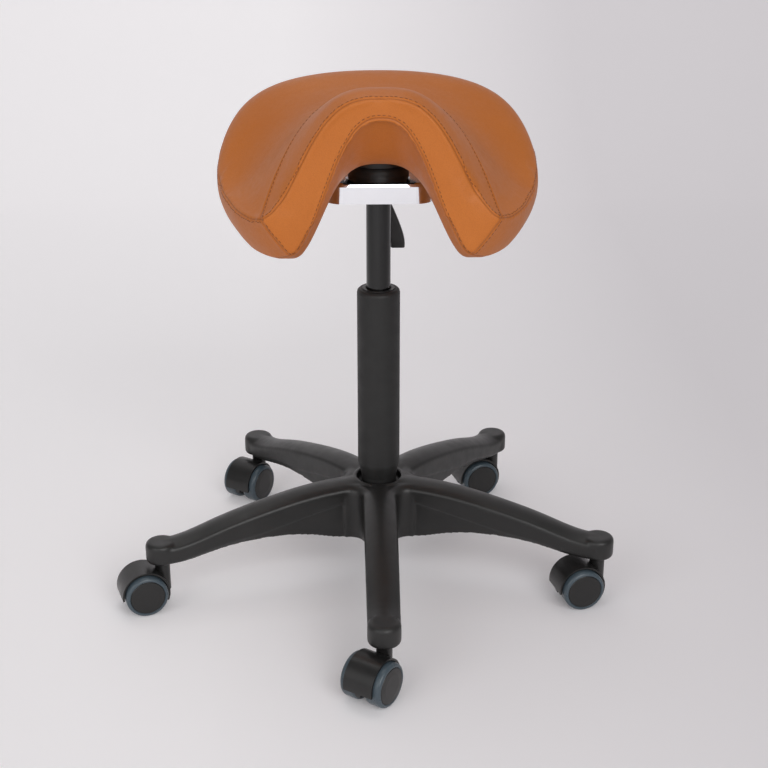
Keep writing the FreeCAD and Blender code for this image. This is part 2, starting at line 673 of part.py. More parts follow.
def base_parts():
    levels = ((HUB_FOOT_Z, 1.5), (116.2, 0.0), (119.6, 1.0), (122.0, 3.4), (124.6, 8.0))
    hub = Part.makeLoft([hub_outline(z, inset) for z, inset in levels], True, True)
    first = rotated(arm(), FRONT_ARM_DEG)
    arms = [rotated(first, STEP_DEG * i) for i in range(ARMS)]
    rim = turned(
        [
            (HUB_RECESS_R - 2, 110.0),
            (HUB_RIM_R + 1.5, 118.0),
            (HUB_RIM_R, HUB_RIM_Z - 0.8),
            (HUB_RIM_R - 0.8, HUB_RIM_Z),
            (HUB_RECESS_R - 2, HUB_RIM_Z),
        ]
    )
    star = hub.fuse(arms).fuse(rim)
    bore = turned(
        [
            (0.0, HUB_FOOT_Z - 5.0),
            (column_outer_r(HUB_FOOT_Z - 5.0) + 0.03, HUB_FOOT_Z - 5.0),
            (NECK_R + 0.03, HUB_RECESS_Z),
            (HUB_RECESS_R, HUB_RECESS_Z),
            (HUB_RECESS_R, HUB_RIM_Z - 0.8),
            (HUB_RECESS_R + 0.8, HUB_RIM_Z),
            (HUB_RECESS_R + 0.8, HUB_RIM_Z + 5.0),
            (0.0, HUB_RIM_Z + 5.0),
        ]
    )
    star = star.cut(bore).removeSplitter()
    return {"star_base": star}


# One castor, its stem on the Z axis and its wheels behind it, towards -X
def castor_hood():
    centre = V(-TRAIL, 0, WHEEL_R)
    half = HOOD_HALF_WIDTH
    drum = pin_along("y", HOOD_R, -half, half, centre)
    drum = drum.cut(pin_along("y", HOOD_R - HOOD_WALL, -half - 1, half + 1, centre))
    corners = ((0, 0), (-60, -8.5), (-60, 60), (40, 60), (40, -18), (0, 0))
    keep = Part.makePolygon([centre + V(x, -40, z) for x, z in corners])
    drum = drum.common(Part.Face(keep).extrude(V(0, 80, 0)))
    web = pin_along("y", HOOD_R - 1.0, -3.0, 3.0, centre)
    web = web.cut(box(-TRAIL - 40, 40, -5, 5, -10, WHEEL_R - 9.0))
    boss_top = ARM_FOOT_Z - 0.7
    boss = cylinder(NECK_BOSS_R, WHEEL_R - 4.0, boss_top - 0.8)
    boss = boss.fuse(Part.makeCone(NECK_BOSS_R, NECK_BOSS_R - 0.8, 0.8, V(0, 0, boss_top - 0.8), UP))
    boss = boss.cut(pin_along("y", WHEEL_R + 1.2, 3.0, 20.0, centre))
    boss = boss.cut(pin_along("y", WHEEL_R + 1.2, -20.0, -3.0, centre))
    hood = drum.fuse(web).fuse(boss)
    hood = hood.cut(pin_along("y", AXLE_R, -5, 5, centre))
    return hood.cut(cylinder(STEM_R, 34.0, 60.0)).removeSplitter()


def castor_wheel(side):
    """One wheel: a black disc with a soft tread ring. The side is +1 or -1 along Y."""
    centre = V(-TRAIL, 0, WHEEL_R)
    inner, face = WHEEL_INNER_Y, WHEEL_FACE_Y
    groove_r = TREAD_INNER_R
    disc_outline = [
        (AXLE_R + RUN, inner),
        (7.0, inner),
        (7.5, inner + 1.5),
        (groove_r - 2.0, inner + 1.5),
        (groove_r, inner + 1.0),
        (groove_r, face - 0.8),
        (groove_r - 0.8, face),
        (13.0, face + 0.6),
        (0.0, face + 0.6),
        (0.0, AXLE_END_Y + 0.2),
        (AXLE_R + RUN, AXLE_END_Y + 0.2),
    ]
    tread_outline = [
        (groove_r, inner + 1.0),
        (WHEEL_R - 3.0, inner + 1.0),
        (WHEEL_R - 0.8, inner + 2.2),
        (WHEEL_R, inner + 4.2),
    ]
    for i in range(7):
        a = math.pi / 2 * i / 6
        reach, lift = TREAD_ROUND * math.cos(a), TREAD_ROUND * math.sin(a)
        tread_outline.append((WHEEL_R - TREAD_ROUND + reach, face - TREAD_ROUND - 0.2 + lift))
    tread_outline.append((groove_r, face - 0.8))
    made = []
    for outline in (disc_outline, tread_outline):
        solid = turned(outline)
        solid.rotate(ORIGIN, V(1, 0, 0), -90 * side)
        solid.translate(centre)
        made.append(solid)
    return made


def castor_parts(index):
    stem = cylinder(STEM_R, 34.0, STEM_TOP_Z - 1.0)
    stem = stem.fuse(Part.makeCone(STEM_R, STEM_R - 1.0, 1.0, V(0, 0, STEM_TOP_Z - 1.0), UP))
    axle = pin_along("y", AXLE_R, -AXLE_END_Y, AXLE_END_Y, V(-TRAIL, 0, WHEEL_R))
    left_disc, left_tread = castor_wheel(1)
    right_disc, right_tread = castor_wheel(-1)
    local = {
        "castor_hood": castor_hood(),
        "castor_pins": Part.makeCompound([stem, axle]),
        "left_wheel": left_disc,
        "left_tread": left_tread,
        "right_wheel": right_disc,
        "right_tread": right_tread,
    }
    arm_deg = FRONT_ARM_DEG + STEP_DEG * index
    a = math.radians(arm_deg)
    x, y = SOCKET_RADIUS * math.cos(a), SOCKET_RADIUS * math.sin(a)
    turn = CASTOR_TURN_DEG[index]
    return {
        f"{name}_{index + 1}": moved(rotated(shape, turn), x, y) for name, shape in local.items()
    }


def main():
    os.makedirs("parts", exist_ok=True)
    made = {}
    groups = (seat_parts, rocking_mount_parts, tray_parts, lever_parts, lift_parts, column_parts)
    for group in groups + (base_parts,):
        made.update(group())
    for index in range(ARMS):
        made.update(castor_parts(index))
    for name, shape in made.items():
        if not shape.isValid() or shape.Volume <= 0:
            print("check", name, shape.isValid(), shape.Volume)
        shape.exportStep(f"parts/{name}.step")
    print(len(made), "nodes")


if __name__ == "__main__":
    main()
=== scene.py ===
"""Saddle stool: the looks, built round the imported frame. Metres, front of the seat towards -Y."""
import bpy
import bmesh
import math
import numpy as np
from mathutils import Matrix, Vector
from mathutils.bvhtree import BVHTree
from mathutils.kdtree import KDTree


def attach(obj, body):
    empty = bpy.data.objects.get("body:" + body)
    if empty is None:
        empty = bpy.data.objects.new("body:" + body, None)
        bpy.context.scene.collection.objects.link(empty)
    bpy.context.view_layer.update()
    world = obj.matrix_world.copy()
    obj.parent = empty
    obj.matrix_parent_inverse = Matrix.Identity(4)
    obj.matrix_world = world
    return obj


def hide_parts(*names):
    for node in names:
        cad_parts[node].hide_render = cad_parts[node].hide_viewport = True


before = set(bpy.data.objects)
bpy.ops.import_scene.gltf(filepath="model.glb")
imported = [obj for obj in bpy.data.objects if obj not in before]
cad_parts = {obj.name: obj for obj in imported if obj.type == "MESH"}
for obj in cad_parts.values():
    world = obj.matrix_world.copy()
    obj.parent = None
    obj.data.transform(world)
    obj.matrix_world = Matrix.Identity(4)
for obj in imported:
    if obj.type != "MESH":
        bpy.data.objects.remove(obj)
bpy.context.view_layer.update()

MM = 0.001
ARMS = 5

# The camera's place and direction, and its focal length in pixels of the picture
CAMERA_PLACE = (-0.03490, -1.65736, 0.92405)
CAMERA_FORWARD = (0.023025, 0.925027, -0.379202)
FOCAL_PIXELS = 1512.67
PICTURE_PIXELS = 768.0
SENSOR_MM = 36.0


def make_camera():
    where = Vector(CAMERA_PLACE)
    forward = Vector(CAMERA_FORWARD).normalized()
    right = forward.cross(Vector((0, 0, 1))).normalized()
    up = right.cross(forward)
    data = bpy.data.cameras.new("camera")
    data.sensor_width = SENSOR_MM
    data.lens = FOCAL_PIXELS * SENSOR_MM / PICTURE_PIXELS
    camera = bpy.data.objects.new("camera", data)
    bpy.context.scene.collection.objects.link(camera)
    turn = Matrix((right, up, -forward)).transposed().to_4x4()
    camera.matrix_world = Matrix.Translation(where) @ turn
    bpy.context.scene.camera = camera


make_camera()


# Materials
class Nodes:
    """A small helper that builds one node material."""

    def __init__(self, name):
        self.material = bpy.data.materials.new(name)
        self.material.use_nodes = True
        self.tree = self.material.node_tree
        self.shader = self.tree.nodes["Principled BSDF"]
        self.where = self.add("ShaderNodeTexCoord").outputs["Object"]

    def add(self, kind, **values):
        node = self.tree.nodes.new(kind)
        for key, value in values.items():
            setattr(node, key, value)
        return node

    def link(self, source, target):
        self.tree.links.new(source, target)

    def set(self, **values):
        for key, value in values.items():
            self.shader.inputs[key.replace("_", " ")].default_value = value

    def noise(self, scale, detail=3.0, rough=0.55, vector=None):
        node = self.add("ShaderNodeTexNoise")
        node.inputs["Scale"].default_value = scale
        node.inputs["Detail"].default_value = detail
        node.inputs["Roughness"].default_value = rough
        self.link(vector or self.where, node.inputs["Vector"])
        return node.outputs["Fac"]

    def cells(self, scale, feature="F1", vector=None):
        node = self.add("ShaderNodeTexVoronoi", feature=feature)
        node.inputs["Scale"].default_value = scale
        self.link(vector or self.where, node.inputs["Vector"])
        return node.outputs["Distance"]

    def remap(self, value, low, high, out_low, out_high):
        node = self.add("ShaderNodeMapRange")
        self.link(value, node.inputs["Value"])
        limits = {"From Min": low, "From Max": high, "To Min": out_low, "To Max": out_high}
        for key, number in limits.items():
            node.inputs[key].default_value = number
        return node.outputs["Result"]

    def mix(self, factor, first, second):
        node = self.add("ShaderNodeMix", data_type="RGBA")
        self.link(factor, node.inputs["Factor"])
        for index, value in ((6, first), (7, second)):
            if isinstance(value, tuple):
                node.inputs[index].default_value = (*value, 1.0)
            else:
                self.link(value, node.inputs[index])
        return node.outputs[2]

    def math(self, operation, first, second):
        node = self.add("ShaderNodeMath", operation=operation)
        for index, value in enumerate((first, second)):
            if isinstance(value, (int, float)):
                node.inputs[index].default_value = value
            else:
                self.link(value, node.inputs[index])
        return node.outputs[0]

    def bump(self, height, strength, distance, below=None):
        node = self.add("ShaderNodeBump")
        node.inputs["Strength"].default_value = strength
        node.inputs["Distance"].default_value = distance
        self.link(height, node.inputs["Height"])
        if below is not None:
            self.link(below, node.inputs["Normal"])
        self.link(node.outputs["Normal"], self.shader.inputs["Normal"])
        return node.outputs["Normal"]

    def attribute(self, name):
        return self.add("ShaderNodeAttribute", attribute_name=name).outputs["Fac"]


def leather():
    m = Nodes("tan_leather")
    patches = m.remap(m.noise(7.0, 4.0), 0.3, 0.7, 0.0, 1.0)
    colour = m.mix(patches, (0.485, 0.136, 0.018), (0.545, 0.162, 0.025))
    grain = m.cells(820.0, "F1")
    colour = m.mix(m.remap(grain, 0.35, 0.75, 0.0, 0.22), colour, (0.36, 0.100, 0.017))
    seam = m.attribute("seam")
    colour = m.mix(m.remap(seam, 0.0, 1.0, 0.0, 0.6), colour, (0.19, 0.052, 0.012))
    m.link(colour, m.shader.inputs["Base Color"])
    m.link(m.remap(m.noise(160.0, 3.0), 0.3, 0.7, 0.42, 0.52), m.shader.inputs["Roughness"])
    wrinkles = m.bump(m.noise(210.0, 4.0, 0.6), 0.12, 0.0012)
    m.bump(grain, 0.28, 0.00035, wrinkles)
    m.set(Specular_IOR_Level=0.32)
    return m.material


def thread():
    m = Nodes("brown_thread")
    strands = m.remap(m.noise(900.0), 0.35, 0.65, 0.0, 1.0)
    colour = m.mix(strands, (0.14, 0.040, 0.010), (0.20, 0.058, 0.014))
    m.link(colour, m.shader.inputs["Base Color"])
    m.bump(m.noise(4000.0, 2.0), 0.5, 0.0001)
    m.set(Roughness=0.7)
    return m.material


def black(name, level, rough, grain, strength):
    """A slightly clouded black. The grain is the scale of its fine bumps."""
    m = Nodes(name)
    cloud = m.remap(m.noise(28.0, 4.0), 0.3, 0.7, 0.0, 1.0)
    dark = (level * 0.9, level * 0.88, level * 0.86)
    light = (level * 1.25, level * 1.2, level * 1.16)
    m.link(m.mix(cloud, dark, light), m.shader.inputs["Base Color"])
    m.link(m.remap(m.noise(75.0, 3.0), 0.3, 0.7, *rough), m.shader.inputs["Roughness"])
    m.bump(m.noise(grain, 2.0), strength, 0.00012)
    return m.material


def chrome():
    m = Nodes("polished_chrome")
    m.link(m.mix(m.noise(40.0), (0.83, 0.83, 0.85), (0.76, 0.77, 0.80)), m.shader.inputs["Base Color"])
    m.link(m.remap(m.noise(55.0, 5.0), 0.35, 0.75, 0.04, 0.13), m.shader.inputs["Roughness"])
    m.bump(m.noise(30.0, 2.0), 0.04, 0.0006)
    m.set(Metallic=1.0)
    return m.material


def bright_steel():
    m = Nodes("bright_steel")
    m.link(m.mix(m.noise(300.0), (0.50, 0.50, 0.51), (0.60, 0.60, 0.61)), m.shader.inputs["Base Color"])
    m.link(m.remap(m.noise(500.0), 0.3, 0.7, 0.22, 0.36), m.shader.inputs["Roughness"])
    m.set(Metallic=1.0)
    return m.material


def soft_tread():
    m = Nodes("blue_grey_tread")
    colour = m.mix(m.noise(120.0), (0.046, 0.066, 0.082), (0.062, 0.086, 0.104))
    m.link(colour, m.shader.inputs["Base Color"])
    m.link(m.remap(m.noise(200.0), 0.3, 0.7, 0.26, 0.38), m.shader.inputs["Roughness"])
    m.bump(m.noise(1500.0, 2.0), 0.12, 0.0001)
    return m.material


def pale_foam():
    m = Nodes("pale_foam")
    m.link(m.mix(m.noise(300.0), (0.62, 0.56, 0.42), (0.74, 0.69, 0.55)), m.shader.inputs["Base Color"])
    m.bump(m.cells(900.0), 0.5, 0.0005)
    m.set(Roughness=0.9)
    return m.material


def moulded_ply():
    m = Nodes("moulded_ply")
    rings = m.add("ShaderNodeTexWave", wave_type="BANDS", bands_direction="X")
    rings.inputs["Scale"].default_value = 22.0
    rings.inputs["Distortion"].default_value = 5.0
    m.link(m.where, rings.inputs["Vector"])
    colour = m.mix(rings.outputs["Fac"], (0.36, 0.22, 0.11), (0.48, 0.31, 0.17))
    m.link(colour, m.shader.inputs["Base Color"])
    m.set(Roughness=0.55)
    return m.material


LEATHER = leather()
THREAD = thread()
MOULDED = black("black_moulded_plastic", 0.013, (0.36, 0.46), 1700.0, 0.10)
CASTOR_BLACK = black("black_castor_plastic", 0.010, (0.28, 0.38), 2200.0, 0.06)
COLUMN_BLACK = black("black_column_paint", 0.010, (0.52, 0.62), 2600.0, 0.14)
TUBE_BLACK = black("black_gloss_tube", 0.0035, (0.10, 0.16), 900.0, 0.02)
RUBBER = black("black_rubber", 0.012, (0.42, 0.52), 1300.0, 0.08)
CHROME = chrome()
STEEL = bright_steel()
TREAD = soft_tread()
FOAM = pale_foam()
PLY = moulded_ply()


# Meshes
def new_object(name, points, faces, material, smooth=True):
    mesh = bpy.data.meshes.new(name)
    mesh.from_pydata([tuple(p) for p in points], [], [tuple(f) for f in faces])
    mesh.materials.append(material)
    mesh.validate()
    obj = bpy.data.objects.new(name, mesh)
    bpy.context.scene.collection.objects.link(obj)
    if smooth:
        mesh.shade_smooth()
    return obj


def copy_of(node, name, material):
    """A new object with its own copy of a CAD node's mesh."""
    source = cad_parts[node]
    mesh = source.data.copy()
    mesh.materials.clear()
    mesh.materials.append(material)
    obj = bpy.data.objects.new(name, mesh)
    obj.matrix_world = source.matrix_world.copy()
    bpy.context.scene.collection.objects.link(obj)
    return obj


def apply_modifiers(obj):
    """Bakes the object's modifiers into its mesh."""
    graph = bpy.context.evaluated_depsgraph_get()
    mesh = bpy.data.meshes.new_from_object(obj.evaluated_get(graph))
    obj.modifiers.clear()
    obj.data = mesh


def voxel_remesh(obj, size, smooth_passes=0, factor=0.5):
    remesh = obj.modifiers.new("remesh", "REMESH")
    remesh.mode = "VOXEL"
    remesh.voxel_size = size
    remesh.use_smooth_shade = True
    if smooth_passes:
        smooth = obj.modifiers.new("smooth", "SMOOTH")
        smooth.iterations = smooth_passes
        smooth.factor = factor
    apply_modifiers(obj)


def paint(node, material, bevel=0.0, segments=3):
    """Gives a CAD node its material and, where asked, softly rounded edges."""
    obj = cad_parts[node]
    obj.data.materials.clear()
    obj.data.materials.append(material)
    if bevel:
        rounding = obj.modifiers.new("bevel", "BEVEL")
        rounding.width = bevel
        rounding.segments = segments
        rounding.limit_method = "ANGLE"
        rounding.angle_limit = math.radians(32)
        rounding.harden_normals = False


# The seat's form: one row per station from front to back, in millimetres
# y, crest z, seam x, seam z, foot x, foot z, belly z, belly power, belly share, bulge
SEAT_STATIONS = (
    (-145.0, 614.0, 126.0, 489.0, 95.0, 448.0, 594.0, 1.30, 1.00, 2.0),
    (-120.0, 619.0, 140.0, 484.0, 113.0, 438.0, 565.0, 1.35, 0.80, 4.0),
    (-90.0, 611.0, 154.0, 484.0, 134.0, 437.0, 535.0, 1.40, 0.74, 5.0),
    (-60.0, 597.0, 164.0, 486.0, 146.0, 441.0, 528.0, 1.60, 0.90, 6.0),
    (-25.0, 583.0, 174.0, 489.0, 158.0, 446.0, 528.0, 1.80, 1.00, 6.0),
    (15.0, 577.0, 181.0, 496.0, 167.0, 455.0, 528.0, 1.80, 1.00, 6.0),
    (60.0, 584.0, 181.0, 510.0, 167.0, 473.0, 528.0, 1.80, 1.00, 6.0),
    (100.0, 593.5, 170.0, 526.0, 154.0, 491.0, 528.5, 1.80, 1.00, 6.0),
    (130.0, 589.5, 147.0, 547.0, 130.0, 508.0, 530.0, 1.80, 1.00, 6.0),
    (146.0, 583.5, 122.0, 558.0, 107.0, 517.0, 532.0, 1.80, 1.00, 5.0),
    (157.0, 578.0, 95.0, 564.0, 85.0, 523.0, 534.0, 1.80, 1.00, 4.0),
)
FRONT_Y = SEAT_STATIONS[0][0]
BACK_Y = SEAT_STATIONS[-1][0]
FRONT_POWER = 1.55
BACK_POWER = 2.3
BLEND_FROM_Y = -40.0
BLEND_TO_Y = 110.0


def station_at(y):
    rows = SEAT_STATIONS
    i = max(k for k in range(len(rows) - 1) if y >= rows[k][0] or k == 0)
    before, here = rows[max(i - 1, 0)], rows[i]
    there, after = rows[i + 1], rows[min(i + 2, len(rows) - 1)]
    span = there[0] - here[0]
    t = (y - here[0]) / span
    values = [y]
    for k in range(1, len(here)):
        slope0 = (there[k] - before[k]) / (there[0] - before[0]) * span
        slope1 = (after[k] - here[k]) / (after[0] - here[0]) * span
        values.append(
            here[k] * (2 * t**3 - 3 * t**2 + 1)
            + slope0 * (t**3 - 2 * t**2 + t)
            + there[k] * (3 * t**2 - 2 * t**3)
            + slope1 * (t**3 - t**2)
        )
    return values


def top_z(row, u):
    y, crest, _, seam = row[:4]
    back = min(max((y - BLEND_FROM_Y) / (BLEND_TO_Y - BLEND_FROM_Y), 0.0), 1.0)
    back = back * back * (3 - 2 * back)
    u = min(abs(u), 1.0)
    front_drop = (1 - math.cos(math.pi * u**FRONT_POWER)) / 2
    back_drop = 1 - math.sqrt(1 - u**BACK_POWER)
    return crest - (crest - seam) * ((1 - back) * front_drop + back * back_drop)


def belly_z(row, u):
    foot, belly, power, share = row[5:9]
    reach = min(abs(u) / share, 1.0)
    return belly - (belly - foot) * (1 - math.cos(math.pi * reach**power)) / 2


# How many steps the form has across its top, its side band and its underside, and along its length
TOP_STEPS = 64
BAND_STEPS = 8
BELLY_STEPS = 56
LENGTH_STEPS = 110
# How far each end cap stands out and is drawn in, in millimetres
FRONT_CAP = (4.0, 3.0)
BACK_CAP = (3.0, 2.5)


def seat_ring(y, y_out=None, inset=0.0):
    """One closed cross-section of the seat, as points in metres."""
    row = station_at(y)
    seam_x, seam_z, foot_x, foot_z = row[2:6]
    bulge = row[9]
    outline = []
    for i in range(TOP_STEPS + 1):
        u = -math.cos(math.pi * i / TOP_STEPS)
        outline.append((u * seam_x, top_z(row, u)))
    across, down = seam_x - foot_x, seam_z - foot_z
    length = math.hypot(across, down)
    band = []
    for i in range(1, BAND_STEPS):
        t = i / BAND_STEPS
        swell = bulge * 4 * t * (1 - t)
        x = seam_x - across * t + swell * down / length
        z = seam_z - down * t - swell * across / length
        band.append((x, z))
    outline.extend(band)
    for i in range(BELLY_STEPS + 1):
        u = math.cos(math.pi * i / BELLY_STEPS)
        outline.append((u * foot_x, belly_z(row, u)))
    outline.extend((-x, z) for x, z in reversed(band))
    count = len(outline)
    points = []
    for i, (x, z) in enumerate(outline):
        (x0, z0), (x1, z1) = outline[i - 1], outline[(i + 1) % count]
        nx, nz = z1 - z0, -(x1 - x0)
        size = math.hypot(nx, nz)
        points.append((x + inset * nx / size, z + inset * nz / size))
    place = y if y_out is None else y_out
    return [Vector((x * MM, place * MM, z * MM)) for x, z in points]


def seat_form(inset):
    """The whole cushion as one closed mesh, drawn in by the inset in millimetres."""
    rings = [seat_ring(FRONT_Y, FRONT_Y - FRONT_CAP[0] + inset, FRONT_CAP[1] + inset)]
    for i in range(LENGTH_STEPS + 1):
        y = FRONT_Y + (BACK_Y - FRONT_Y) * i / LENGTH_STEPS
        y = min(max(y, FRONT_Y + inset), BACK_Y - inset)
        rings.append(seat_ring(y, None, inset))
    rings.append(seat_ring(BACK_Y, BACK_Y + BACK_CAP[0] - inset, BACK_CAP[1] + inset))
    count = len(rings[0])
    points = [p for ring in rings for p in ring]
    faces = []
    for r in range(len(rings) - 1):
        for i in range(count):
            j = (i + 1) % count
            faces.append((r * count + i, r * count + j, (r + 1) * count + j, (r + 1) * count + i))
    faces.append(tuple(reversed(range(count))))
    last = (len(rings) - 1) * count
    faces.append(tuple(last + i for i in range(count)))
    return points, faces


# Seams, as lists of points near the seat's surface
def front_arch():
    row = station_at(FRONT_Y)
    shares = [-1 + 2 * i / 80 for i in range(81)]
    return [Vector((u * row[2], FRONT_Y - 1.5, top_z(row, u))) * MM for u in shares]


def inner_arch():
    row = station_at(FRONT_Y)
    shares = [-1 + 2 * i / 80 for i in range(81)]
    return [Vector((u * row[4], FRONT_Y - 1.5, belly_z(row, u))) * MM for u in shares]


def side_seam(side, low=False):
    made = []
    for i in range(91):
        y = FRONT_Y + (BACK_Y - FRONT_Y) * i / 90
        row = station_at(y)
        x, z = (row[4], row[5]) if low else (row[2], row[3])
        made.append(Vector((side * x, y, z)) * MM)
    return made


def back_seam(low=False):
    row = station_at(BACK_Y)
    made = []
    for i in range(41):
        u = 1 - 2 * i / 40
        x, z = (u * row[4], belly_z(row, u)) if low else (u * row[2], top_z(row, u))
        made.append(Vector((x, BACK_Y + 1.0, z)) * MM)
    return made


def corner_seam(side):
    row = station_at(FRONT_Y)
    made = []
    for i in range(13):
        t = i / 12
        x = row[2] + (row[4] - row[2]) * t
        z = row[3] + (row[5] - row[3]) * t
        made.append(Vector((side * x, FRONT_Y - 1.0, z)) * MM)
    return made


# The panel seam's corners on one side, as (x, y) in millimetres
PANEL_SEAM = (
    (126, -143),
    (121, -124),
    (112, -108),
    (98, -95),
    (80, -84),
    (56, -75),
    (28, -69),
    (0, -67),
)


def panel_seam():
    """The seam across the top behind the crest, from corner to corner."""
    full = list(PANEL_SEAM) + [(-x, y) for x, y in reversed(PANEL_SEAM[:-1])]
    made = []
    for i in range(len(full) - 1):
        before, here = full[max(i - 1, 0)], full[i]
        there, after = full[i + 1], full[min(i + 2, len(full) - 1)]
        for k in range(8):
            t = k / 8
            x, y = (
                0.5 * (2 * here[a] + (there[a] - before[a]) * t
                       + (2 * before[a] - 5 * here[a] + 4 * there[a] - after[a]) * t * t
                       + (3 * here[a] - before[a] - 3 * there[a] + after[a]) * t**3)
                for a in (0, 1)
            )
            row = station_at(max(y, FRONT_Y))
            made.append(Vector((x, y, top_z(row, x / row[2]))) * MM)
    return made


def resample(path, step, tree=None):
    """Points evenly spaced along a path, set down on the surface if a tree is given."""
    if tree is not None:
        path = [tree.find_nearest(p)[0] for p in path]
    lengths = [0.0]
    for a, b in zip(path, path[1:]):
        lengths.append(lengths[-1] + (b - a).length)
    count = max(2, int(lengths[-1] / step))
    made, k = [], 0
    for i in range(count + 1):
        want = lengths[-1] * i / count
        while k < len(path) - 2 and lengths[k + 1] < want:
            k += 1
        span = max(lengths[k + 1] - lengths[k], 1e-9)
        made.append(path[k].lerp(path[k + 1], (want - lengths[k]) / span))
    return made


PUFF_FRAMES = 20


def puff(obj, pressure, cap):
    """Fills the closed skin with a little pressure, moving no point further than the cap."""
    start = np.empty(len(obj.data.vertices) * 3)
    obj.data.vertices.foreach_get("co", start)
    cloth = obj.modifiers.new("cloth", "CLOTH")
    settings = cloth.settings
    settings.quality = 6
    settings.mass = 0.35
    settings.tension_stiffness = 25
    settings.compression_stiffness = 25
    settings.shear_stiffness = 10
    settings.bending_stiffness = 4
    settings.use_pressure = True
    settings.uniform_pressure_force = pressure
    settings.effector_weights.gravity = 0.0
    cloth.collision_settings.use_collision = False
    cloth.point_cache.frame_start = 1
    cloth.point_cache.frame_end = PUFF_FRAMES
    scene = bpy.context.scene
    for number in range(1, PUFF_FRAMES + 1):
        scene.frame_set(number)
    graph = bpy.context.evaluated_depsgraph_get()
    done = obj.evaluated_get(graph).data
    after = np.empty(len(done.vertices) * 3)
    done.vertices.foreach_get("co", after)
    obj.modifiers.clear()
    scene.frame_set(1)
    move = (after - start).reshape(-1, 3)
    size = np.linalg.norm(move, axis=1)
    move *= (np.minimum(size, cap) / np.maximum(size, 1e-9))[:, None]
    obj.data.vertices.foreach_set("co", (start.reshape(-1, 3) + move).ravel())
    obj.data.update()


def sew(obj, paths, depth, width, swell):
    """Presses a groove along each seam, swells the leather beside it and stores its nearness."""
    mesh = obj.data
    count = len(mesh.vertices)
    points = [p for path in paths for p in path]
    tree = KDTree(len(points))
    for i, p in enumerate(points):
        tree.insert(p, i)
    tree.balance()
    near = np.array([tree.find(v.co)[2] for v in mesh.vertices])
    normals = np.empty(count * 3)
    mesh.vertex_normals.foreach_get("vector", normals)
    places = np.empty(count * 3)
    mesh.vertices.foreach_get("co", places)
    groove = np.exp(-((near / width) ** 2))
    beside = np.exp(-(((near - 3.2 * width) / (2.2 * width)) ** 2))
    places = places.reshape(-1, 3) + normals.reshape(-1, 3) * (swell * beside - depth * groove)[:, None]
    mesh.vertices.foreach_set("co", places.ravel())
    layer = mesh.attributes.new("seam", "FLOAT", "POINT")
    layer.data.foreach_set("value", np.exp(-((near / (0.62 * width)) ** 2)).astype(np.float32))
    mesh.update()


def refine(obj, paths, reach, longest):
    """Splits the edges near the seams, so that a seam can be finer than the mesh."""
    points = [p for path in paths for p in path]
    tree = KDTree(len(points))
    for i, p in enumerate(points):
        tree.insert(p, i)
    tree.balance()
    work = bmesh.new()
    work.from_mesh(obj.data)
    for _ in range(2):
        near = [e for e in work.edges if tree.find((e.verts[0].co + e.verts[1].co) / 2)[2] < reach]
        near = [e for e in near if e.calc_length() > longest]
        bmesh.ops.subdivide_edges(work, edges=near, cuts=1, use_grid_fill=True)
    bmesh.ops.triangulate(work, faces=[f for f in work.faces if len(f.verts) > 4])
    work.to_mesh(obj.data)
    work.free()
    obj.data.shade_smooth()


def stitch_rows(name, rows, tree, pitch, length, radius):
    """Short threads in rows beside the seams. Each row is a path and its offset from that path."""
    points, faces = [], []
    sides, rings = 6, ((-0.5, 0.35), (-0.38, 0.9), (0.0, 1.0), (0.38, 0.9), (0.5, 0.35))
    for path, offset in rows:
        line = resample(path, pitch, tree)
        for i in range(len(line) - 1):
            a, b = line[i], line[i + 1]
            along = (b - a).normalized()
            middle = (a + b) / 2
            _, normal, _, _ = tree.find_nearest(middle)
            across = normal.cross(along).normalized()
            place, normal, _, _ = tree.find_nearest(middle + across * offset)
            along = (along - normal * along.dot(normal)).normalized()
            across = normal.cross(along)
            start = len(points)
            for t, share in rings:
                lift = 0.35 * radius - (0.9 * radius if abs(t) == 0.5 else 0.0)
                centre = place + along * (t * length) + normal * lift
                for k in range(sides):
                    angle = 2 * math.pi * k / sides
                    reach = across * math.cos(angle) + normal * math.sin(angle)
                    points.append(centre + reach * radius * share)
            for r in range(len(rings) - 1):
                low, high = start + r * sides, start + (r + 1) * sides
                for k in range(sides):
                    j = (k + 1) % sides
                    faces.append((low + k, low + j, high + j, high + k))
            faces.append(tuple(start + k for k in reversed(range(sides))))
            faces.append(tuple(start + (len(rings) - 1) * sides + k for k in range(sides)))
    return new_object(name, points, faces, THREAD)


# How the leather is worked, in metres
COARSE_VOXEL = 0.0036
FINE_VOXEL = 0.0017
PUFF_PRESSURE = 3.0
PUFF_CAP = 0.0016
SEAM_STEP = 0.0005
SEAM_DEPTH = 0.0008
SEAM_WIDTH = 0.0010
SEAM_SWELL = 0.0003
SEAM_REACH = 0.0034
SEAM_EDGE = 0.0007
STITCH_OFFSET = 0.0032
STITCH_PITCH = 0.0050
STITCH_LENGTH = 0.0034
THREAD_R = 0.00036
FORM_INSET_MM = 0.3


def surface_of(obj):
    return BVHTree.FromObject(obj, bpy.context.evaluated_depsgraph_get())


